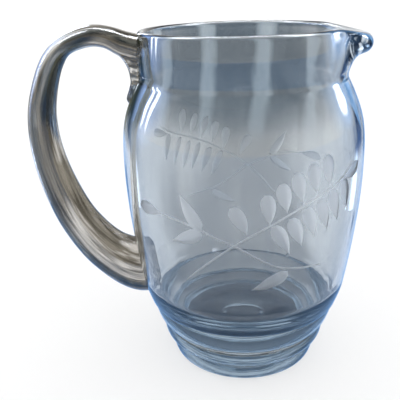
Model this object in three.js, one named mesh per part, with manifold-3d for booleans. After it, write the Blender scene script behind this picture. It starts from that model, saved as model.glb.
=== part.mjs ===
// Glass water pitcher: a blown body on a stepped foot and a drawn handle fused to its collar and belly.
// Millimetres, +Z up. The spout points along +X, the handle along -X.
import * as THREE from 'three';
import { mergeVertices } from 'three/addons/utils/BufferGeometryUtils.js';
import Module from 'manifold-3d';

// Driving dimensions
const height = 185;
const bellyRadius = 64.2;
const collarRadius = 54;
const rimRadius = 53.1;
const footRadius = 38.4;
const footHeight = 36;
const collarHeight = 24;
const wall = 3.6;
const floorHeight = 25;
const fuseGap = 0.3;
const turns = 72;

const point = (r, z) => new THREE.Vector2(r, z);

// Foot: three rounded steps, each wider than the one below, over a ground resting ring
const pontilRadius = footRadius * 0.49;
const pontilDepth = 1.4;
const waistRadius = footRadius * 1.34;
const firstNotch = point(footRadius * 1.07, footHeight * 0.305);
const secondNotch = point(footRadius * 1.18, footHeight * 0.59);
const waist = point(waistRadius, footHeight);

function step(from, to, lowerSwell, upperSwell) {
  const rise = to.y - from.y;
  const lower = point(from.x + footRadius * lowerSwell, from.y + rise * 0.04);
  const upper = point(to.x + footRadius * upperSwell, to.y - rise * 0.1);
  return new THREE.CubicBezierCurve(from, lower, upper, to).getPoints(6);
}

const pontil = new THREE.QuadraticBezierCurve(
  point(0, pontilDepth),
  point(pontilRadius * 0.7, pontilDepth * 0.9),
  point(pontilRadius, 0),
).getPoints(4);

const footProfile = [
  ...pontil,
  ...step(point(footRadius, 0), firstNotch, 0.089, 0.042),
  ...step(firstNotch, secondNotch, 0.172, 0.057).slice(1),
  ...step(secondNotch, waist, 0.115, 0.049).slice(1),
];

// Belly: swells from the waist to its widest, then turns in at the shoulder to meet the collar
const collarFoot = height - collarHeight;
const bellyRise = collarFoot - footHeight;
const swell = bellyRadius - waistRadius;
const bellyAt = (across, up) => point(waistRadius + swell * across, footHeight + bellyRise * up);

const belly = new THREE.SplineCurve([
  bellyAt(0.22, 0.012),
  bellyAt(0.44, 0.08),
  bellyAt(0.58, 0.16),
  bellyAt(0.78, 0.31),
  bellyAt(0.94, 0.472),
  bellyAt(1, 0.63),
  bellyAt(0.96, 0.768),
  bellyAt(0.82, 0.848),
  bellyAt(0.5, 0.935),
  point(collarRadius, collarFoot - collarHeight * 0.02),
]).getPoints(18);

// Collar: nearly straight, drawn in a little towards the rounded rim
const rimRound = wall / 2;
const rimMid = rimRadius - rimRound;
const collar = new THREE.QuadraticBezierCurve(
  point(collarRadius - wall * 0.08, collarFoot + collarHeight * 0.08),
  point(collarRadius + wall * 0.25, collarFoot + collarHeight * 0.4),
  point(rimRadius, height - rimRound),
).getPoints(6);

const rim = new THREE.EllipseCurve(rimMid, height - rimRound, rimRound, rimRound, 0, Math.PI)
  .getPoints(6)
  .slice(1, -1);

// Inside: follows the outer wall down to the top of the bowl, then rounds over to the solid floor
const bowlTop = footHeight + bellyRise * 0.13;
const outerWall = [...belly, ...collar].filter((p) => p.y > bowlTop);
const innerWall = outerWall.filter((p, i) => i % 2 === 0).map((p) => point(p.x - wall, p.y)).reverse();
const bowlRadius = innerWall[innerWall.length - 1].x;
const bowl = new THREE.EllipseCurve(
  0, bowlTop, bowlRadius, bowlTop - floorHeight, 0, -Math.PI / 2, true,
).getPoints(8);

const outerProfile = [...footProfile, ...belly, ...collar];
const bodyProfile = [...outerProfile, ...rim, ...innerWall, ...bowl];
bodyProfile[bodyProfile.length - 1].x = 0;

function revolve(profile) {
  const geometry = new THREE.LatheGeometry(profile, turns);
  geometry.rotateX(Math.PI / 2);
  return geometry;
}

// Spout: the collar wall is bent outwards and down within a few degrees of +X
const spoutHalfAngle = THREE.MathUtils.degToRad(36);
const spoutReach = 12.2;
const spoutDrop = 7.1;
const spoutCrook = 5.6;
const lipThickening = 1.55;
const spoutStart = collarFoot - collarHeight * 0.04;
const spoutCurve = new THREE.QuadraticBezierCurve(
  point(rimMid, spoutStart),
  point(rimMid + spoutReach * 0.06, height - spoutDrop - spoutCrook),
  point(rimMid + spoutReach, height - spoutDrop - rimRound),
);

function pullSpout(geometry) {
  const places = geometry.attributes.position;
  const straight = height - rimRound - spoutStart;
  for (let i = 0; i < places.count; i += 1) {
    const x = places.getX(i);
    const y = places.getY(i);
    const z = places.getZ(i);
    const angle = Math.atan2(y, x);
    if (z > spoutStart && Math.abs(angle) < spoutHalfAngle) {
      const share = Math.cos((angle / spoutHalfAngle) * (Math.PI / 2)) ** 2;
      const along = Math.min((z - spoutStart) / straight, 1);
      const thicker = THREE.MathUtils.lerp(1, lipThickening, along ** 2);
      const past = Math.max(z - height + rimRound, 0) * thicker;
      const off = (Math.hypot(x, y) - rimMid) * thicker;
      const middle = spoutCurve.getPoint(along);
      const heading = spoutCurve.getTangent(along);
      const r = middle.x + heading.y * off + heading.x * past;
      const bentZ = middle.y - heading.x * off + heading.y * past;
      const pulled = THREE.MathUtils.lerp(Math.hypot(x, y), r, share);
      const drooped = THREE.MathUtils.lerp(z, bentZ, share ** 1.7);
      places.setXYZ(i, pulled * Math.cos(angle), pulled * Math.sin(angle), drooped);
    }
  }
  return geometry;
}

// Solids for the cuts and joins
const wasm = await Module();
wasm.setup();

function weld(geometry) {
  const bare = geometry.clone();
  bare.deleteAttribute('normal');
  bare.deleteAttribute('uv');
  return mergeVertices(bare, 1e-4);
}

function solid(geometry) {
  const welded = weld(geometry);
  const corners = [];
  for (let i = 0; i < welded.index.count; i += 3) {
    const [a, b, c] = [0, 1, 2].map((k) => welded.index.getX(i + k));
    if (a !== b && b !== c && c !== a) {
      corners.push(a, b, c);
    }
  }
  return new wasm.Manifold(new wasm.Mesh({
    numProp: 3,
    vertProperties: new Float32Array(welded.attributes.position.array),
    triVerts: new Uint32Array(corners),
  }));
}

function geometryOf(manifold) {
  const mesh = manifold.getMesh();
  const geometry = new THREE.BufferGeometry();
  geometry.setAttribute('position', new THREE.BufferAttribute(new Float32Array(mesh.vertProperties), 3));
  geometry.setIndex(new THREE.BufferAttribute(new Uint32Array(mesh.triVerts), 1));
  return geometry;
}

// Loft along a path in the XZ plane: each station has a soft-cornered oval section square to the path
function loft(stations, rings, around, squareness) {
  const centres = stations.map(([x, z]) => new THREE.Vector3(x, 0, z));
  const halves = stations.map(([, , thick, wide]) => new THREE.Vector3(thick, wide, 0));
  const path = new THREE.CatmullRomCurve3(centres, false, 'centripetal');
  const sizes = new THREE.CatmullRomCurve3(halves);
  const soft = (value) => Math.sign(value) * Math.abs(value) ** (2 / squareness);
  const places = [];
  const corners = [];
  for (let i = 0; i <= rings; i += 1) {
    const t = i / rings;
    const centre = path.getPoint(t);
    const heading = path.getTangent(t);
    const size = sizes.getPoint(t);
    for (let k = 0; k < around; k += 1) {
      const turn = (k / around) * Math.PI * 2;
      const out = size.x * soft(Math.cos(turn));
      const side = size.y * soft(Math.sin(turn));
      places.push(centre.x + heading.z * out, side, centre.z - heading.x * out);
    }
  }
  for (let i = 0; i < rings; i += 1) {
    for (let k = 0; k < around; k += 1) {
      const a = i * around + k;
      const b = i * around + ((k + 1) % around);
      corners.push(a, b, b + around, a, b + around, a + around);
    }
  }
  const last = rings * around;
  for (let k = 1; k < around - 1; k += 1) {
    corners.push(0, k + 1, k, last, last + k, last + k + 1);
  }
  const geometry = new THREE.BufferGeometry();
  geometry.setAttribute('position', new THREE.Float32BufferAttribute(places, 3));
  geometry.setIndex(corners);
  return geometry;
}

// Handle: thickest where it was stuck to the belly, drawn thinner on its way up to the collar.
// Stations give reach from the collar, height between the joints, half thickness and half width.
const handleReach = 54.9;
const handleTopInset = 3.2;
const lowerJointRise = 14.5;
const handleTop = height - handleTopInset;
const lowerJoint = footHeight + lowerJointRise;
const handleRise = handleTop - lowerJoint;
const gripThickness = 7.85;
const gripWidth = 8.7;
const bow = [
  [-0.1, 0.943, 0.95, 1.15],
  [0.108, 0.968, 0.86, 1.1],
  [0.287, 0.993, 0.74, 1],
  [0.449, 1, 0.63, 0.98],
  [0.831, 0.912, 0.78, 0.98],
  [1, 0.69, 1, 1],
  [0.98, 0.544, 1.1, 1.03],
  [0.86, 0.369, 1.27, 1.09],
  [0.688, 0.209, 1.44, 1.15],
  [0.422, 0.068, 1.73, 1.26],
  [0.085, 0.004, 2.12, 1.44],
  [-0.12, 0.03, 1.75, 1.36],
];
const handleStations = bow.map(([u, v, thick, wide]) => [
  -(collarRadius + handleReach * u),
  lowerJoint + handleRise * v,
  gripThickness * thick,
  gripWidth * wide,
]);

// Tail: the handle's pressed-down end, filling the corner of the neck and ending on the shoulder.
// Stations run down the outside of the body: share of the tail's length, half thickness and half width.
const tailTop = collarFoot + collarHeight * 0.46;
const tailLength = 25.2;
const outside = [...belly, ...collar];

function outerRadiusAt(z) {
  const above = outside.findIndex((p) => p.y >= z);
  const [low, high] = [outside[above - 1], outside[above]];
  return THREE.MathUtils.mapLinear(z, low.y, high.y, low.x, high.x);
}

const tailStations = [
  [-0.1, 1.2, 0.97],
  [0.2, 0.76, 0.78],
  [0.5, 0.53, 0.6],
  [0.77, 0.33, 0.48],
  [0.92, 0.31, 0.37],
  [1, 0.08, 0.14],
].map(([share, thick, wide]) => {
  const z = tailTop - tailLength * share;
  return [-outerRadiusAt(z), z, gripThickness * thick, gripWidth * wide];
});

// Envelope: the outer form of the body with the fused seam's clearance, which trims the handle's ends
const envelope = outerProfile.map((p) => point(p.x + fuseGap, p.y));
envelope[0] = point(0, -fuseGap);
const envelopeTop = [point(rimRadius + fuseGap, height + wall), point(0, height + wall)];

const bodyGeometry = weld(pullSpout(revolve(bodyProfile)));
const keepOut = solid(revolve([...envelope, ...envelopeTop]));
const handleSolid = solid(loft(handleStations, 46, 20, 2.5))
  .add(solid(loft(tailStations, 14, 14, 2)))
  .subtract(keepOut);
const handleGeometry = geometryOf(handleSolid);

// Colourless glass, a little greyer where it is thick
const bodyGlass = new THREE.MeshStandardMaterial({ color: 0xd5e0e6, roughness: 0.06, metalness: 0 });
const handleGlass = new THREE.MeshStandardMaterial({ color: 0xb3bdb9, roughness: 0.06, metalness: 0 });
bodyGlass.name = 'body glass';
handleGlass.name = 'handle glass';

const group = new THREE.Group();
const body = new THREE.Mesh(bodyGeometry, bodyGlass);
body.name = 'body';
const handle = new THREE.Mesh(handleGeometry, handleGlass);
handle.name = 'handle';
group.add(body, handle);

// Origin: middle of the box's underside, so the part stands on z = 0
const box = new THREE.Box3().setFromObject(group);
const middle = (box.min.x + box.max.x) / 2;
group.children.forEach((mesh) => mesh.geometry.translate(-middle, 0, 0));

export default group;
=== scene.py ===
# A clear glass water pitcher: a blown body with cut leaf sprays, a drawn handle fused to it,
# and the pale studio in which it stands. Metres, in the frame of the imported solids.
import math

import bmesh
import bpy
from mathutils import Matrix, Vector
from mathutils.geometry import interpolate_bezier
from mathutils.kdtree import KDTree


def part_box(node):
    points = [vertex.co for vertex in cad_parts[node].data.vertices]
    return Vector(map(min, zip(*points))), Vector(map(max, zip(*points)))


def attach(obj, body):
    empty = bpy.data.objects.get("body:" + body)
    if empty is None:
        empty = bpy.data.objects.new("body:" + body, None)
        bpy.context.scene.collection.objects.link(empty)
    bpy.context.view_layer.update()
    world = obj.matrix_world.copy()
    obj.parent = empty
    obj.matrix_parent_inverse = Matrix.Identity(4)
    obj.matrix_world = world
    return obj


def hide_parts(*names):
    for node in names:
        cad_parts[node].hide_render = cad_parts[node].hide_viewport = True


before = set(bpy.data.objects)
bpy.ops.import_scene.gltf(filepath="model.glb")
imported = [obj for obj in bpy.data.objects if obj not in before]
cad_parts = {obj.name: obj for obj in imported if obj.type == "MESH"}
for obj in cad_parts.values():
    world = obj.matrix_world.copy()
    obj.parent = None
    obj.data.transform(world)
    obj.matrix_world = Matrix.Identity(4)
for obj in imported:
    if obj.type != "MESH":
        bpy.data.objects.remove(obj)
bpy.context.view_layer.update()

# Body: a vessel of colourless soda glass, blown in one piece from the pressed three-step foot to the
# fire-polished rim. The spout was pulled out of the rim while it was hot, and the pontil mark under
# the foot is ground and polished to a shallow hollow.
mm = 0.001
body_low, body_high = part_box("body")
height = body_high.z
belly_radius = (body_high.y - body_low.y) / 2
axis_x = body_low.x + belly_radius
collar_radius = 54.0 * mm
rim_radius = 53.1 * mm
foot_radius = 38.4 * mm
foot_height = 36.0 * mm
collar_height = 24.0 * mm
wall = 3.6 * mm
floor_height = 25.0 * mm
pontil_depth = 1.4 * mm
pontil_radius = foot_radius * 0.49
waist_radius = foot_radius * 1.34
foot_edge = 0.9 * mm
turns = 192


def bend(start, lead, follow, end, steps):
    """Points along a Bezier curve, without its start."""
    return interpolate_bezier(start, lead, follow, end, steps + 1)[1:]


def bow(start, crown, end, steps):
    """Points along a single-crowned curve, without its start."""
    return bend(start, start.lerp(crown, 2 / 3), end.lerp(crown, 2 / 3), end, steps)


def smooth_line(points, steps):
    """A line that flows through all the points, with even tension between near and far ones."""
    ends = [points[0] * 2 - points[1], *points, points[-1] * 2 - points[-2]]
    line = [points[0]]
    for before, start, end, after in zip(ends, ends[1:], ends[2:], ends[3:]):
        gaps = [math.sqrt((b - a).length) for a, b in ((before, start), (start, end), (end, after))]
        first, mid, last = gaps
        lead = end * first ** 2 - before * mid ** 2
        lead += start * (2 * first ** 2 + 3 * first * mid + mid ** 2)
        lead /= 3 * first * (first + mid)
        follow = start * last ** 2 - after * mid ** 2
        follow += end * (2 * last ** 2 + 3 * last * mid + mid ** 2)
        follow /= 3 * last * (last + mid)
        line += bend(start, lead, follow, end, steps)
    return line


def foot_step(start, end, lower_swell, upper_swell):
    """One rounded step of the foot."""
    rise = end.y - start.y
    lower = start + Vector((foot_radius * lower_swell, rise * 0.04))
    upper = end + Vector((foot_radius * upper_swell, -rise * 0.1))
    return bend(start, lower, upper, end, 14)


collar_foot = height - collar_height
belly_rise = collar_foot - foot_height
belly_swell = belly_radius - waist_radius
belly_bends = [
    (0.22, 0.012), (0.44, 0.08), (0.58, 0.16), (0.78, 0.31), (0.94, 0.472),
    (1.0, 0.63), (0.96, 0.768), (0.82, 0.848), (0.5, 0.935),
]
first_notch = Vector((foot_radius * 1.07, foot_height * 0.305))
second_notch = Vector((foot_radius * 1.18, foot_height * 0.59))
waist = Vector((waist_radius, foot_height))

outside = [Vector((0, pontil_depth))]
outside += bow(
    outside[0],
    Vector((pontil_radius * 0.7, pontil_depth * 0.9)),
    Vector((pontil_radius, 0)),
    8,
)
outside.append(Vector((foot_radius - foot_edge, 0)))
outside += bow(outside[-1], Vector((foot_radius, 0)), Vector((foot_radius + foot_edge, foot_edge)), 4)
outside += foot_step(outside[-1], first_notch, 0.07, 0.042)
outside += foot_step(first_notch, second_notch, 0.172, 0.057)
outside += foot_step(second_notch, waist, 0.115, 0.049)
belly = [
    Vector((waist_radius + belly_swell * across, foot_height + belly_rise * up))
    for across, up in belly_bends
]
belly.append(Vector((collar_radius, collar_foot - collar_height * 0.02)))
outside += smooth_line(belly, 8)

rim_round = wall / 2
rim_mid = Vector((rim_radius - rim_round, height - rim_round))
collar_start = Vector((collar_radius - wall * 0.08, collar_foot + collar_height * 0.08))
collar_swell = Vector((collar_radius + wall * 0.25, collar_foot + collar_height * 0.4))
collar_end = Vector((rim_radius, rim_mid.y))
outside.append(collar_start)
outside += bow(collar_start, collar_swell, collar_end, 14)

rim = []
rim_steps = 14
for i in range(1, rim_steps):
    turn = math.pi * i / rim_steps
    rim.append(rim_mid + Vector((math.cos(turn), math.sin(turn))) * rim_round)

bowl_top = foot_height + belly_rise * 0.13
inside = [point - Vector((wall, 0)) for point in reversed(outside) if point.y > bowl_top]
bowl_edge = inside[-1]
bowl_steps = 30
for i in range(1, bowl_steps + 1):
    turn = math.pi / 2 * i / bowl_steps
    inside.append(Vector((
        bowl_edge.x * math.cos(turn),
        bowl_edge.y - (bowl_edge.y - floor_height) * math.sin(turn),
    )))
inside[-1].x = 0


def revolve(profile, segments):
    """A closed turned form on the vessel's axis, from a profile that starts and ends there."""
    form = bmesh.new()
    corners = [form.verts.new((axis_x + point.x, 0, point.y)) for point in profile]
    edges = [form.edges.new(pair) for pair in zip(corners, corners[1:])]
    bmesh.ops.spin(
        form, geom=corners + edges, cent=(axis_x, 0, 0), axis=(0, 0, 1),
        angle=math.tau, steps=segments, use_merge=True, use_duplicate=False,
    )
    bmesh.ops.remove_doubles(form, verts=form.verts, dist=0.001 * mm)
    bmesh.ops.recalc_face_normals(form, faces=form.faces)
    return form


spout_half_angle = math.radians(36)
spout_reach = 9.0 * mm
spout_drop = 6.8 * mm
spout_crook = 5.6 * mm
lip_thickening = 3.0
lip_onset = 3
droop_onset = 1.3
spout_start = Vector((rim_mid.x, collar_foot - collar_height * 0.04))
spout_knee = Vector((rim_mid.x + spout_reach * 0.06, height - spout_drop - spout_crook))
spout_lip = Vector((rim_mid.x + spout_reach, height - spout_drop - rim_round))


def pull_spout(glass):
    """Draws the collar out and down over the spout's angle."""
    straight = rim_mid.y - spout_start.y
    for vert in glass.verts:
        flat = Vector((vert.co.x - axis_x, vert.co.y))
        turn = math.atan2(flat.y, flat.x)
        if vert.co.z <= spout_start.y or abs(turn) >= spout_half_angle:
            continue
        share = math.cos(turn / spout_half_angle * math.pi / 2) ** 2
        along = min((vert.co.z - spout_start.y) / straight, 1)
        thicker = 1 + (lip_thickening - 1) * along ** lip_onset
        past = max(vert.co.z - rim_mid.y, 0) * thicker
        off = (flat.length - rim_mid.x) * thicker
        lower = spout_start.lerp(spout_knee, along)
        upper = spout_knee.lerp(spout_lip, along)
        middle = lower.lerp(upper, along)
        heading = (upper - lower).normalized()
        reach = middle.x + heading.y * off + heading.x * past
        drooped = middle.y - heading.x * off + heading.y * past
        radius = flat.length + (reach - flat.length) * share
        vert.co.x = axis_x + radius * math.cos(turn)
        vert.co.y = radius * math.sin(turn)
        vert.co.z += (drooped - vert.co.z) * share ** droop_onset


def as_object(form, name):
    """A mesh object at the origin, made from a finished form."""
    mesh = bpy.data.meshes.new(name)
    form.to_mesh(mesh)
    form.free()
    made = bpy.data.objects.new(name, mesh)
    bpy.context.scene.collection.objects.link(made)
    return made


def settle(piece):
    """Makes the piece's modifiers part of its mesh."""
    seen = piece.evaluated_get(bpy.context.evaluated_depsgraph_get())
    rough = piece.data
    piece.data = bpy.data.meshes.new_from_object(seen)
    piece.modifiers.clear()
    bpy.data.meshes.remove(rough)


weld_gap = 0.01 * mm
sliver_area = 0.01 * mm * mm


def weld(form):
    """Merges the corners that cutting leaves side by side, and closes the slivers between them."""
    bmesh.ops.remove_doubles(form, verts=form.verts, dist=weld_gap)
    bmesh.ops.triangulate(form, faces=form.faces, quad_method="SHORT_EDGE")
    slivers = [face for face in form.faces if face.calc_area() < sliver_area]
    short = [min(face.edges, key=bmesh.types.BMEdge.calc_length) for face in slivers]
    bmesh.ops.collapse(form, edges=list(dict.fromkeys(short)))


def hex_colour(code):
    """Linear red, green, blue and alpha from an sRGB hex value."""
    parts = [int(code[i:i + 2], 16) / 255 for i in (1, 3, 5)]
    linear = [c / 12.92 if c <= 0.04045 else ((c + 0.055) / 1.055) ** 2.4 for c in parts]
    return (*linear, 1)


def add(tree, kind, inputs=None, **settings):
    """Adds a node with its settings, values and links."""
    made = tree.nodes.new(kind)
    for name, value in settings.items():
        setattr(made, name, value)
    for name, value in (inputs or {}).items():
        if isinstance(value, bpy.types.NodeSocket):
            tree.links.new(value, made.inputs[name])
        else:
            made.inputs[name].default_value = value
    return made


def new_material(name):
    """An empty node material."""
    material = bpy.data.materials.new(name)
    material.use_nodes = True
    material.node_tree.nodes.clear()
    return material


# Blown soda glass: clear in thin walls, steel blue where it is thick, with the slow waves of hot work.
# Where the stone wheel cut it, it is ground matt and scatters the light into an even pale grey.
glass_index = 1.52
wave_repeat = 28 * mm
cord_repeat = 9 * mm
cord_stretch = 0.12
blown_glass = new_material("blown_soda_glass")
tree = blown_glass.node_tree
place = add(tree, "ShaderNodeTexCoord").outputs["Object"]
waves = add(tree, "ShaderNodeTexNoise", {"Vector": place, "Scale": 1 / wave_repeat, "Detail": 1.0})
upright = add(tree, "ShaderNodeMapping", {"Vector": place, "Scale": (1.0, 1.0, cord_stretch)})
cords = add(tree, "ShaderNodeTexNoise", {
    "Vector": upright.outputs["Vector"], "Scale": 1 / cord_repeat, "Detail": 1.0,
})
swell = add(tree, "ShaderNodeBump", {
    "Height": waves.outputs["Fac"], "Strength": 0.4, "Distance": 0.5 * mm,
})
ripple = add(tree, "ShaderNodeBump", {
    "Height": cords.outputs["Fac"], "Strength": 0.4, "Distance": 0.25 * mm,
    "Normal": swell.outputs["Normal"],
})
ground = add(tree, "ShaderNodeAttribute", attribute_name="stone_cut").outputs["Fac"]
streaks = add(tree, "ShaderNodeMapRange", {
    "Value": cords.outputs["Fac"], "From Min": 0.35, "From Max": 0.65,
})
batch = add(tree, "ShaderNodeMix", {
    "Factor": streaks.outputs["Result"], "A": hex_colour("#d9dde0"), "B": hex_colour("#e3e6e8"),
}, data_type="RGBA")
tint = add(tree, "ShaderNodeMix", {
    "Factor": ground, "A": batch.outputs["Result"], "B": hex_colour("#eef4fc"),
}, data_type="RGBA")
level = add(tree, "ShaderNodeSeparateXYZ", {"Vector": place}).outputs["Z"]
worn = add(tree, "ShaderNodeMapRange", {
    "Value": level, "From Min": 0.1 * mm, "From Max": 0.4 * mm, "To Min": 0.08, "To Max": 0.0,
})
grooves = 0.0
for notch in (first_notch, second_notch):
    gap = add(tree, "ShaderNodeMath", {0: level, 1: notch.y}, operation="SUBTRACT")
    gap = add(tree, "ShaderNodeMath", {0: gap.outputs[0]}, operation="ABSOLUTE")
    line = add(tree, "ShaderNodeMapRange", {
        "Value": gap.outputs[0], "From Min": 0.2 * mm, "From Max": 0.6 * mm, "To Min": 0.5, "To Max": 0.0,
    })
    both = add(tree, "ShaderNodeMath", {0: line.outputs["Result"], 1: grooves}, operation="MAXIMUM")
    grooves = both.outputs[0]
matt = add(tree, "ShaderNodeMath", {0: ground, 1: 0.5}, operation="MULTIPLY")
roughness = add(tree, "ShaderNodeMath", {
    0: matt.outputs[0], 1: worn.outputs["Result"],
}, operation="MAXIMUM")
bloom = add(tree, "ShaderNodeMath", {0: ground, 1: 0.08}, operation="MULTIPLY")
haze = add(tree, "ShaderNodeMath", {0: bloom.outputs[0], 1: grooves}, operation="MAXIMUM")
glass = add(tree, "ShaderNodeBsdfPrincipled", {
    "Base Color": tint.outputs["Result"], "Roughness": roughness.outputs[0], "IOR": glass_index,
    "Transmission Weight": 1.0, "Normal": ripple.outputs["Normal"],
    "Sheen Weight": haze.outputs[0], "Sheen Roughness": 1.0,
})
depth = add(tree, "ShaderNodeVolumeAbsorption", {"Color": hex_colour("#6ca2be"), "Density": 9.5})
add(tree, "ShaderNodeOutputMaterial", {"Surface": glass.outputs["BSDF"], "Volume": depth.outputs["Volume"]})

vessel = revolve(outside + rim + inside, turns)
pull_spout(vessel)
body = as_object(vessel, "pitcher_body")
body.data.materials.append(blown_glass)

# Leaf sprays: two stems crossing low on the belly, with paired leaflets, ground into the body by hand on
# a stone wheel and left matt. The same spray is cut again on the far side. Each leaflet is a shallow
# tilted facet that runs down to a steep bevel along one edge.
cut_depth = 0.55 * mm
cut_clear = 0.05 * mm
cut_lift = 1.2 * mm
bevel_at = 0.6
leaf_width = 7.8 * mm
far_leaf_width = 5.6 * mm
leaf_lean = 0.1
leaf_fullness = 2.6
leaf_tip = 0.05
leaf_end_depth = 0.25
stem_width = 1.3 * mm
stem_depth = 0.3 * mm
stem_end = 0.35
stem_taper = 8
path_step = 0.01


def outer_radius(z):
    """The body's radius at a height on the belly."""
    for low, high in zip(outside, outside[1:]):
        if low.y <= z < high.y and low.y > foot_height:
            return low.x + (high.x - low.x) * (z - low.y) / (high.y - low.y)
    return belly_radius


def on_belly(place, out):
    """The point over a place on the unrolled belly, which is an arc length and a height."""
    radius = outer_radius(place.y) + out
    turn = place.x / belly_radius
    return Vector((axis_x + radius * math.cos(turn), radius * math.sin(turn), place.y))


def unrolled(azimuth, level):
    """A place on the unrolled belly, from degrees and millimetres."""
    return Vector((math.radians(azimuth) * belly_radius, level * mm))


def wheel_cut(cutter, path, half_width, groove, along_steps, across_steps):
    """A shape as deep as the cut, over a path on the unrolled belly, that stands proud of the glass."""
    made = bmesh.ops.create_grid(
        cutter, x_segments=along_steps, y_segments=across_steps, size=1.0,
    )
    for vert in made["verts"]:
        along = (vert.co.x + 1) / 2
        side = vert.co.y
        ahead = path(min(along + path_step, 1))
        heading = (ahead - path(max(along - path_step, 0))).normalized()
        square = Vector((-heading.y, heading.x))
        spot = path(along) + square * side * half_width(along)
        vert.co = on_belly(spot, cut_clear - groove(along, side))
    sheet = dict.fromkeys(face for vert in made["verts"] for face in vert.link_faces)
    raised = bmesh.ops.extrude_face_region(cutter, geom=list(sheet))
    for vert in raised["geom"]:
        if isinstance(vert, bmesh.types.BMVert):
            flat = Vector((vert.co.x - axis_x, vert.co.y))
            turn = math.atan2(flat.y, flat.x)
            radius = outer_radius(vert.co.z) + cut_lift
            vert.co.x = axis_x + radius * math.cos(turn)
            vert.co.y = radius * math.sin(turn)


def leaflet(cutter, rounded, pointed, width):
    """A half-bowed leaflet from its rounded end to its point."""
    axis = (pointed - rounded).normalized()
    lean = Vector((-axis.y, axis.x)) * width * leaf_lean

    def shape(along):
        return max(leaf_fullness * math.sqrt(max(along, 0)) * (1 - along), leaf_tip)

    def path(along):
        return rounded.lerp(pointed, along) + lean * shape(along)

    def half_width(along):
        return width / 2 * shape(along)

    def groove(along, side):
        slope = min((1 + side) / (1 + bevel_at), (1 - side) / (1 - bevel_at))
        return cut_depth * slope * min(1, leaf_end_depth + shape(along))

    wheel_cut(cutter, path, half_width, groove, along_steps=16, across_steps=5)


def stem(cutter, points):
    """A thin line of the wheel through the points, fading out at its ends."""
    line = smooth_line([unrolled(*point) for point in points], 10)

    def path(along):
        place = along * (len(line) - 1)
        before = min(int(place), len(line) - 2)
        return line[before].lerp(line[before + 1], place - before)

    def fade(along):
        return min(1, stem_end + stem_taper * along, stem_end + stem_taper * (1 - along))

    def half_width(along):
        return stem_width / 2 * fade(along)

    def groove(along, side):
        return stem_depth * (1 - abs(side)) * fade(along)

    wheel_cut(cutter, path, half_width, groove, along_steps=90, across_steps=2)


long_stem = [
    (-117, 70), (-103, 84), (-92.7, 93), (-83, 99.6), (-64.6, 110), (-45, 118.5), (-35.6, 124.5),
]
short_stem = [
    (-130, 104), (-117.3, 102.2), (-107.3, 99.1), (-100.3, 95.4), (-93, 92), (-80.3, 83.1),
    (-72.7, 79.3), (-64.5, 77.6), (-52.3, 76.4),
]
leaflets_above = [
    ((-95.2, 111.3), (-88.2, 98.1)), ((-81.4, 117.3), (-78.8, 102.7)), ((-75.4, 121.9), (-71.6, 108)),
    ((-69.1, 126), (-64.7, 111.6)), ((-61.6, 129.4), (-58, 115)), ((-54.1, 132.2), (-51, 117.4)),
    ((-29.2, 123.6), (-41.4, 118.4)), ((-107, 99.7), (-116.5, 115.7)),
]
leaflets_below = [
    ((-78.1, 101.7), (-69.7, 86.6)), ((-70.8, 104.6), (-64, 89.5)), ((-63.8, 108.7), (-57.5, 92.7)),
    ((-57.1, 111.2), (-50.8, 94.9)), ((-50.8, 114.7), (-44.6, 97.8)), ((-43.2, 118), (-38.1, 102.3)),
    ((-142, 103.2), (-127.5, 103.4)), ((-107.7, 98.9), (-121.9, 91.3)), ((-69.8, 77.0), (-85.9, 68)),
]
cutters = []
for name, leaflets in (("above", leaflets_above), ("below", leaflets_below)):
    cutter = bmesh.new()
    for far_side, width in ((0, leaf_width), (180, far_leaf_width)):
        for rounded, pointed in leaflets:
            rounded_place = unrolled(rounded[0] + far_side, rounded[1])
            pointed_place = unrolled(pointed[0] + far_side, pointed[1])
            leaflet(cutter, rounded_place, pointed_place, width)
    cutters.append(as_object(cutter, "cut_" + name))
for name, points in (("long", long_stem), ("short", short_stem)):
    cutter = bmesh.new()
    for far_side in (0, 180):
        stem(cutter, [(azimuth + far_side, level) for azimuth, level in points])
    cutters.append(as_object(cutter, "cut_" + name))

for cutter in cutters:
    form = bmesh.new()
    form.from_mesh(cutter.data)
    bmesh.ops.recalc_face_normals(form, faces=form.faces)
    for face in form.faces:
        face.material_index = 1
    form.to_mesh(cutter.data)
    form.free()
    cut = body.modifiers.new(cutter.name, "BOOLEAN")
    cut.operation = "DIFFERENCE"
    cut.solver = "EXACT"
    cut.object = cutter
settle(body)
for cutter in cutters:
    bpy.data.objects.remove(cutter)

finished = bmesh.new()
finished.from_mesh(body.data)
weld(finished)
stone_cut = finished.faces.layers.float.new("stone_cut")
for edge in finished.edges:
    edge.smooth = len({face.material_index for face in edge.link_faces}) == 1
for face in finished.faces:
    face.smooth = True
    face[stone_cut] = face.material_index
    face.material_index = 0
finished.to_mesh(body.data)
finished.free()

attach(body, "root")
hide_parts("body")

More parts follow.
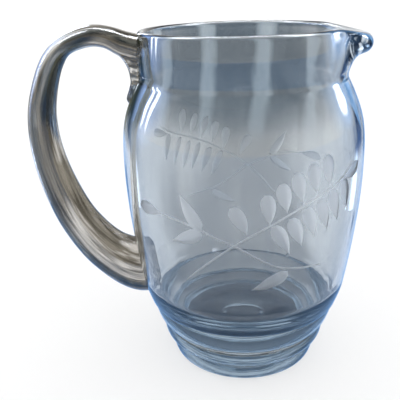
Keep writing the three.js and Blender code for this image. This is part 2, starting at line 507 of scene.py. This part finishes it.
# Handle: a gather of the same glass, stuck to the belly while soft, drawn up in a bow and pressed on
# under the rim, where its end runs down the collar as a tapering tail. Both ends are fused to the body.
# A station of the bow is its reach, rise, thickness and width, as shares of the handle's own.
handle_reach = 54.9 * mm
handle_top = height - 3.2 * mm
lower_joint = foot_height + 14.5 * mm
handle_rise = handle_top - lower_joint
grip_thickness = 7.85 * mm
grip_width = 8.7 * mm
fuse_depth = 0.8 * mm
melt_size = 0.7 * mm
crease = math.radians(40)
bow_stations = [
    (-0.1, 0.943, 0.95, 1.15), (0.108, 0.968, 0.86, 1.1), (0.287, 0.999, 0.72, 1.0),
    (0.449, 1.005, 0.7, 0.98), (0.709, 0.967, 0.64, 0.97), (0.831, 0.912, 0.74, 0.98),
    (0.937, 0.808, 0.86, 0.99), (1.0, 0.69, 0.98, 1.0), (0.99, 0.544, 1.1, 1.03),
    (0.885, 0.369, 1.27, 1.09), (0.712, 0.209, 1.44, 1.15), (0.422, 0.068, 1.73, 1.26),
    (0.085, 0.004, 2.12, 1.44), (-0.12, 0.03, 1.75, 1.36),
]
# The web of glass under the upper joint: out from the collar, down from the rim and half its section, in mm
web_stations = [
    (19.0, 3.8, 3.4, 8.0), (10.6, 7.8, 3.5, 7.8), (6.1, 11.6, 3.5, 7.4), (2.5, 17.8, 3.5, 6.8),
    (1.7, 23.3, 3.2, 6.0), (1.7, 26.9, 3.0, 5.2),
]
tail_top = collar_foot + collar_height * 0.46
tail_length = 25.2 * mm
# The tail: its share of the length, thickness and width
tail_stations = [
    (-0.1, 1.2, 0.97), (0.2, 0.76, 0.78), (0.5, 0.53, 0.6), (0.77, 0.33, 0.48), (0.92, 0.31, 0.37),
    (1.0, 0.08, 0.14),
]


def draw_glass(centres, halves, steps):
    """A bar drawn along the centres, with an oval section square to its path."""
    path = smooth_line(centres, steps)
    sizes = smooth_line(halves, steps)
    rings = len(path) - 1
    bar = bmesh.new()
    bmesh.ops.create_cone(bar, cap_ends=True, segments=40, radius1=1.0, radius2=1.0, depth=1.0)
    sides = [edge for edge in bar.edges if abs(edge.verts[0].co.z - edge.verts[1].co.z) > 0.5]
    bmesh.ops.subdivide_edges(bar, edges=sides, cuts=rings - 1, use_grid_fill=True)
    for vert in bar.verts:
        ring = round((vert.co.z + 0.5) * rings)
        heading = (path[min(ring + 1, rings)] - path[max(ring - 1, 0)]).normalized()
        out = vert.co.x * sizes[ring].x
        side = vert.co.y * sizes[ring].y
        vert.co = path[ring] + Vector((heading.z * out, side, -heading.x * out))
    bmesh.ops.recalc_face_normals(bar, faces=bar.faces)
    return bar


bow_centres = [
    Vector((axis_x - collar_radius - handle_reach * u, 0, lower_joint + handle_rise * v))
    for u, v, thick, wide in bow_stations
]
handle = as_object(draw_glass(
    bow_centres,
    [Vector((grip_thickness * thick, grip_width * wide, 0)) for u, v, thick, wide in bow_stations],
    steps=10,
), "pitcher_handle")
tail_levels = [tail_top - tail_length * share for share, thick, wide in tail_stations]
tail = as_object(draw_glass(
    [Vector((axis_x - outer_radius(level), 0, level)) for level in tail_levels],
    [Vector((grip_thickness * thick, grip_width * wide, 0)) for share, thick, wide in tail_stations],
    steps=8,
), "handle_tail")
collar_back = axis_x - collar_radius
web = as_object(draw_glass(
    [Vector((collar_back - out * mm, 0, height - down * mm)) for out, down, thick, wide in web_stations],
    [Vector((thick * mm, wide * mm, 0)) for out, down, thick, wide in web_stations],
    steps=8,
), "handle_web")
for bar in (tail, web):
    press = handle.modifiers.new("press", "BOOLEAN")
    press.operation = "UNION"
    press.solver = "EXACT"
    press.object = bar
melt = handle.modifiers.new("melt", "REMESH")
melt.mode = "VOXEL"
melt.voxel_size = melt_size
soften = handle.modifiers.new("soften", "SMOOTH")
soften.factor = 0.5
soften.iterations = 12
seat_low = 2 * mm
seat_side = [point for point in outside if point.x > foot_radius + foot_edge / 4]
seat_profile = [Vector((0, seat_low))]
seat_profile += [Vector((point.x - fuse_depth, point.y)) for point in seat_side]
seat_profile += [Vector((rim_radius - fuse_depth, height + wall)), Vector((0, height + wall))]
seat = as_object(revolve(seat_profile, 144), "handle_seat")
fit = handle.modifiers.new("fit", "BOOLEAN")
fit.operation = "DIFFERENCE"
fit.solver = "EXACT"
fit.object = seat
settle(handle)
for tool in (seat, tail, web):
    bpy.data.objects.remove(tool)
drawn = bmesh.new()
drawn.from_mesh(handle.data)
weld(drawn)
for face in drawn.faces:
    face.smooth = True
    face.material_index = 0
for edge in drawn.edges:
    edge.smooth = edge.calc_face_angle(0) < crease

bow_line = smooth_line(bow_centres, 40)
nearest = KDTree(len(bow_line))
lengths = [0.0]
for place, point in enumerate(bow_line):
    nearest.insert(point, place)
    if place:
        lengths.append(lengths[-1] + (point - bow_line[place - 1]).length)
nearest.balance()
along_handle = drawn.verts.layers.float_vector.new("along_handle")
for vert in drawn.verts:
    point, place, distance = nearest.find(vert.co)
    heading = bow_line[min(place + 1, len(bow_line) - 1)] - bow_line[max(place - 1, 0)]
    heading.normalize()
    off = vert.co - point
    across = heading.z * off.x - heading.x * off.z
    vert[along_handle] = (lengths[place] + off.dot(heading), across, off.y)
drawn.to_mesh(handle.data)
drawn.free()

# Drawn glass: the same batch in a thick rod, smoky and a little brown, with the cords and fine striae that
# drawing it out leaves along its length.
striae_repeat = 3.2 * mm
striae_stretch = 0.04
drawn_glass = new_material("drawn_soda_glass")
tree = drawn_glass.node_tree
along = add(tree, "ShaderNodeAttribute", attribute_name="along_handle").outputs["Vector"]
stretched = add(tree, "ShaderNodeMapping", {"Vector": along, "Scale": (striae_stretch, 1.0, 1.0)})
striae = add(tree, "ShaderNodeTexNoise", {
    "Vector": stretched.outputs["Vector"], "Scale": 1 / striae_repeat,
})
smoke = add(tree, "ShaderNodeMapRange", {
    "Value": striae.outputs["Fac"], "From Min": 0.43, "From Max": 0.57,
})
tint = add(tree, "ShaderNodeMix", {
    "Factor": smoke.outputs["Result"], "A": hex_colour("#5c5648"), "B": hex_colour("#fffdf8"),
}, data_type="RGBA")
ripple = add(tree, "ShaderNodeBump", {
    "Height": striae.outputs["Fac"], "Strength": 0.5, "Distance": 0.6 * mm,
})
glass = add(tree, "ShaderNodeBsdfPrincipled", {
    "Base Color": tint.outputs["Result"], "Roughness": 0.0, "IOR": glass_index,
    "Transmission Weight": 1.0, "Normal": ripple.outputs["Normal"],
})
depth = add(tree, "ShaderNodeVolumeAbsorption", {"Color": hex_colour("#8f8371"), "Density": 26.0})
add(tree, "ShaderNodeOutputMaterial", {"Surface": glass.outputs["BSDF"], "Volume": depth.outputs["Volume"]})
handle.data.materials.append(drawn_glass)
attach(handle, "root")
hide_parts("handle")

# Studio: a white paper floor and surround, with a painted shadow under the foot and painted blue
# reflections where the glass mirrors the floor, a sun that throws the shadow, glowing panels that show only
# as highlights on the glass, and soft glowing boards that the glass bends into dark edges.
middle = Vector((axis_x, 0, height / 2))
floor_drop = 0.3 * mm
floor_radius = 12.0
scene = bpy.context.scene


def seen_rays(tree):
    """The outputs of a Light Path, rays that come straight from the view, and those mirrored by glass."""
    ray = add(tree, "ShaderNodeLightPath").outputs
    seen = add(tree, "ShaderNodeMath", {
        0: ray["Is Camera Ray"], 1: ray["Is Glossy Ray"],
    }, operation="MAXIMUM")
    through = add(tree, "ShaderNodeMath", {
        0: seen.outputs[0], 1: ray["Is Transmission Ray"],
    }, operation="MAXIMUM")
    straight = add(tree, "ShaderNodeMath", {0: ray["Diffuse Depth"], 1: 0.5}, operation="LESS_THAN")
    viewed = add(tree, "ShaderNodeMath", {
        0: through.outputs[0], 1: straight.outputs[0],
    }, operation="MULTIPLY")
    mirrored = add(tree, "ShaderNodeMath", {
        0: ray["Is Glossy Ray"], 1: ray["Is Transmission Ray"],
    }, operation="SUBTRACT")
    return ray, viewed.outputs[0], mirrored.outputs[0]


floor_form = bmesh.new()
bmesh.ops.create_circle(floor_form, cap_ends=True, segments=96, radius=floor_radius)
bmesh.ops.translate(floor_form, verts=floor_form.verts, vec=(0, 0, -floor_drop))
floor = as_object(floor_form, "studio_floor")
paper = new_material("white_paper")
tree = paper.node_tree
ray, viewed, mirrored = seen_rays(tree)
spot = add(tree, "ShaderNodeTexCoord").outputs["Object"]
from_axis = add(tree, "ShaderNodeVectorMath", {0: spot, 1: (axis_x, 0, 0)}, operation="DISTANCE")
# Painted shadow: the paper is painted dark grey under the foot and fades out at the foot's edge. Where the
# glass shows the floor, the painted shadow reaches out to about twice the foot's radius.
shade_edge = add(tree, "ShaderNodeMath", {
    0: ray["Is Transmission Ray"], 1: foot_radius * 1.1, 2: foot_radius,
}, operation="MULTIPLY_ADD")
painted_foot_shadow = add(tree, "ShaderNodeMapRange", {
    "Value": from_axis.outputs["Value"], "From Min": foot_radius * 0.75, "From Max": shade_edge.outputs[0],
    "To Min": 1.0, "To Max": 0.0,
})
shaded = add(tree, "ShaderNodeMix", {
    "Factor": painted_foot_shadow.outputs["Result"], "A": hex_colour("#eaeaea"), "B": hex_colour("#5a5f66"),
}, data_type="RGBA")
# Painted reflection: where the glass mirrors the floor, the paper is painted light blue, as if the glass
# reflected a blue sky. The painted shadow under the foot carries into this colour and into the paper's
# glow.
painted_floor_tone = add(tree, "ShaderNodeMix", {
    "Factor": mirrored, "A": shaded.outputs["Result"], "B": hex_colour("#86b4ee"),
}, data_type="RGBA")
glow = add(tree, "ShaderNodeMath", {0: viewed, 1: 0.08}, operation="MULTIPLY")
sheet = add(tree, "ShaderNodeBsdfPrincipled", {
    "Base Color": painted_floor_tone.outputs["Result"], "Roughness": 0.9, "Specular IOR Level": 0.0,
    "Emission Color": painted_floor_tone.outputs["Result"], "Emission Strength": glow.outputs[0],
})
add(tree, "ShaderNodeOutputMaterial", {"Surface": sheet.outputs["BSDF"]})
floor.data.materials.append(paper)

world = bpy.data.worlds.new("white_surround")
world.use_nodes = True
world.node_tree.nodes.clear()
tree = world.node_tree
ray, viewed, mirrored = seen_rays(tree)
strength = add(tree, "ShaderNodeMapRange", {"Value": viewed, "To Min": 0.6})
sky_at = add(tree, "ShaderNodeTexCoord").outputs["Generated"]
level = add(tree, "ShaderNodeSeparateXYZ", {"Vector": sky_at}).outputs["Z"]
overhead = add(tree, "ShaderNodeMapRange", {
    "Value": level, "From Min": 0.35, "From Max": 0.75,
}, interpolation_type="SMOOTHSTEP")
indirect = add(tree, "ShaderNodeMath", {0: overhead.outputs["Result"], 1: mirrored}, operation="MULTIPLY")
tone = add(tree, "ShaderNodeMix", {
    "Factor": indirect.outputs[0], "A": hex_colour("#ffffff"), "B": hex_colour("#5a6878"),
}, data_type="RGBA")
sky = add(tree, "ShaderNodeBackground", {
    "Color": tone.outputs["Result"], "Strength": strength.outputs["Result"],
})
add(tree, "ShaderNodeOutputWorld", {"Surface": sky.outputs["Background"]})
scene.world = world

sun = bpy.data.lights.new("key", "SUN")
sun.energy = 7.3
sun.angle = math.radians(8)
sun_light = bpy.data.objects.new("key", sun)
sun_light.rotation_euler = Vector((0.02, 1.0, -0.268)).to_track_quat("-Z", "Y").to_euler()
sun_light.visible_glossy = False
sun_light.visible_transmission = False
scene.collection.objects.link(sun_light)


def hang(name, place, angles, width, tall, material):
    """A rectangle in the studio that only the glass shows."""
    form = bmesh.new()
    bmesh.ops.create_grid(form, x_segments=1, y_segments=1, size=0.5)
    bmesh.ops.scale(form, verts=form.verts, vec=(width, tall, 1))
    made = as_object(form, name)
    made.location = place
    made.rotation_euler = angles
    made.data.materials.append(material)
    made.visible_camera = False
    made.visible_diffuse = False
    made.visible_shadow = False
    return made


def fade_out(tree, width, tall, soft):
    """How far a rectangle covers what is behind it, fading out over the soft share of its oval."""
    at = add(tree, "ShaderNodeTexCoord").outputs["Object"]
    fitted = add(tree, "ShaderNodeMapping", {"Vector": at, "Scale": (2 / width, 2 / tall, 1)})
    fade = add(tree, "ShaderNodeTexGradient", {
        "Vector": fitted.outputs["Vector"],
    }, gradient_type="SPHERICAL")
    cover = add(tree, "ShaderNodeMapRange", {
        "Value": fade.outputs["Fac"], "From Max": soft,
    }, interpolation_type="SMOOTHSTEP")
    return at, cover.outputs["Result"]


def glow_through(tree, cover, light):
    """Ends a material that glows where it covers and is clear elsewhere."""
    clear = add(tree, "ShaderNodeBsdfTransparent")
    mixed = add(tree, "ShaderNodeMixShader", {
        0: cover, 1: clear.outputs["BSDF"], 2: light.outputs["Emission"],
    })
    add(tree, "ShaderNodeOutputMaterial", {"Surface": mixed.outputs["Shader"]})


window_soft = 0.7
window_white = "#e6f0ff"
top_white = "#eef4ff"


def soft_window(name, place, width, tall, strength, tint):
    """A soft-edged glowing panel that faces the pitcher and shows only in its highlights."""
    pane = new_material("pane_" + name)
    pane.cycles.emission_sampling = "NONE"
    tree = pane.node_tree
    at, cover = fade_out(tree, width, tall, window_soft)
    light = add(tree, "ShaderNodeEmission", {"Color": hex_colour(tint), "Strength": strength})
    glow_through(tree, cover, light)
    angles = (middle - place).to_track_quat("Z", "Y").to_euler()
    made = hang(name, place, angles, width, tall, pane)
    made.visible_transmission = False


soft_window("window_right", Vector((axis_x + 0.271, 0.08, 0.2125)), 0.08, 0.085, 24, window_white)
soft_window("halo_right", Vector((axis_x + 0.28, 0.085, 0.215)), 0.19, 0.2, 4, "#6ea6e8")
soft_window("sky_right", Vector((axis_x + 0.31, 0.15, 0.24)), 0.5, 0.55, 3.5, "#7fb0e4")
soft_window("low_right", Vector((0.262, 0.11, 0.025)), 0.08, 0.12, 8, "#b4d2f4")
for slot, across in enumerate((0.03, 0.08, 0.13)):
    place = Vector((axis_x - 0.34, across, 0.25))
    soft_window("window_left_%d" % slot, place, 0.035, 0.24, 22, window_white)
soft_window("sky_left", Vector((axis_x - 0.345, 0.09, 0.25)), 0.45, 0.45, 4, "#8fb8ff")
soft_window("window_joint", Vector((axis_x - 0.195, 0.28, 0.25)), 0.05, 0.26, 20, window_white)
soft_window("window_top", middle + Vector((0.0, 0.2, 0.55)), 0.7, 0.2, 24, top_white)
soft_window("top_left", middle + Vector((-0.4, -0.06, 0.5)), 0.4, 0.45, 20, top_white)
soft_window("top_right", middle + Vector((0.4, -0.06, 0.5)), 0.4, 0.45, 20, top_white)
soft_window("low_left", Vector((-0.235, 0.09, 0.038)), 0.08, 0.13, 8, "#d6e6ff")

floor_fade = 0.045
shade_from = -0.08
shade_to = 0.02
stripe_unit = 0.314


def side_board(name, place, turn, width, tall, soft, stripe, low_shade, high_shade, light_shade):
    """A soft-edged, faintly striped board beside the pitcher, which fades out towards the floor."""
    board = new_material("board_" + name)
    tree = board.node_tree
    at, oval = fade_out(tree, width, tall, soft)
    up = add(tree, "ShaderNodeSeparateXYZ", {"Vector": at}).outputs["Y"]
    lifted = add(tree, "ShaderNodeMapRange", {
        "Value": up, "From Min": -place.z, "From Max": floor_fade - place.z,
    }, interpolation_type="SMOOTHSTEP")
    cover = add(tree, "ShaderNodeMath", {0: oval, 1: lifted.outputs["Result"]}, operation="MULTIPLY")
    rise = add(tree, "ShaderNodeMapRange", {"Value": up, "From Min": shade_from, "From Max": shade_to})
    stripes = add(tree, "ShaderNodeTexWave", {
        "Vector": at, "Scale": stripe_unit / stripe, "Distortion": 1.6, "Detail": 1.0,
    })
    bright = add(tree, "ShaderNodeMapRange", {
        "Value": stripes.outputs["Fac"], "From Min": 0.7, "From Max": 0.95,
    })
    shade = add(tree, "ShaderNodeMix", {
        "Factor": rise.outputs["Result"], "A": hex_colour(low_shade), "B": hex_colour(high_shade),
    }, data_type="RGBA")
    tone = add(tree, "ShaderNodeMix", {
        "Factor": bright.outputs["Result"], "A": shade.outputs["Result"], "B": hex_colour(light_shade),
    }, data_type="RGBA")
    light = add(tree, "ShaderNodeEmission", {"Color": tone.outputs["Result"]})
    glow_through(tree, cover.outputs[0], light)
    hang(name, place, (math.pi / 2, 0, turn), width, tall, board)


side_board(
    "board_right", Vector((axis_x + 0.32, 0.27, 0.1)), math.pi / 2, 0.5, 0.6,
    soft=0.35, stripe=0.28, low_shade="#4a73b0", high_shade="#2c405e", light_shade="#9dbde6",
)
side_board(
    "board_left", Vector((axis_x - 0.36, 0.36, 0.1)), math.pi / 2, 0.6, 0.7,
    soft=0.35, stripe=0.28, low_shade="#4d72a4", high_shade="#2b3c44", light_shade="#a4bcd8",
)
side_board(
    "board_far", Vector((axis_x - 0.01, 0.36, 0.108)), 0.0, 0.44, 0.22,
    soft=0.6, stripe=0.07, low_shade="#848f98", high_shade="#616e79", light_shade="#b6c2ca",
)
side_board(
    "board_back", Vector((axis_x - 0.42, 0.48, 0.16)), 0.0, 0.6, 0.6,
    soft=0.35, stripe=0.3, low_shade="#39423c", high_shade="#1c2523", light_shade="#5e6352",
)

# Camera: the viewing angle of a person who looks down at the pitcher from close by
camera_height = 207.1 * mm
camera_distance = 306.0 * mm
look_down = 0.3603
look_left = 0.0780
tilt = -0.0301
focal_length = 52.135
lens = bpy.data.cameras.new("camera")
lens.sensor_width = 36.0
lens.lens = focal_length
camera = bpy.data.objects.new("camera", lens)
aim = Matrix.Rotation(look_left, 4, "Z") @ Matrix.Rotation(math.pi / 2 - look_down, 4, "X")
camera.matrix_world = (
    Matrix.Translation((axis_x, -camera_distance, camera_height)) @ aim @ Matrix.Rotation(tilt, 4, "Z")
)
scene.collection.objects.link(camera)
scene.camera = camera
scene.view_settings.view_transform = "Standard"
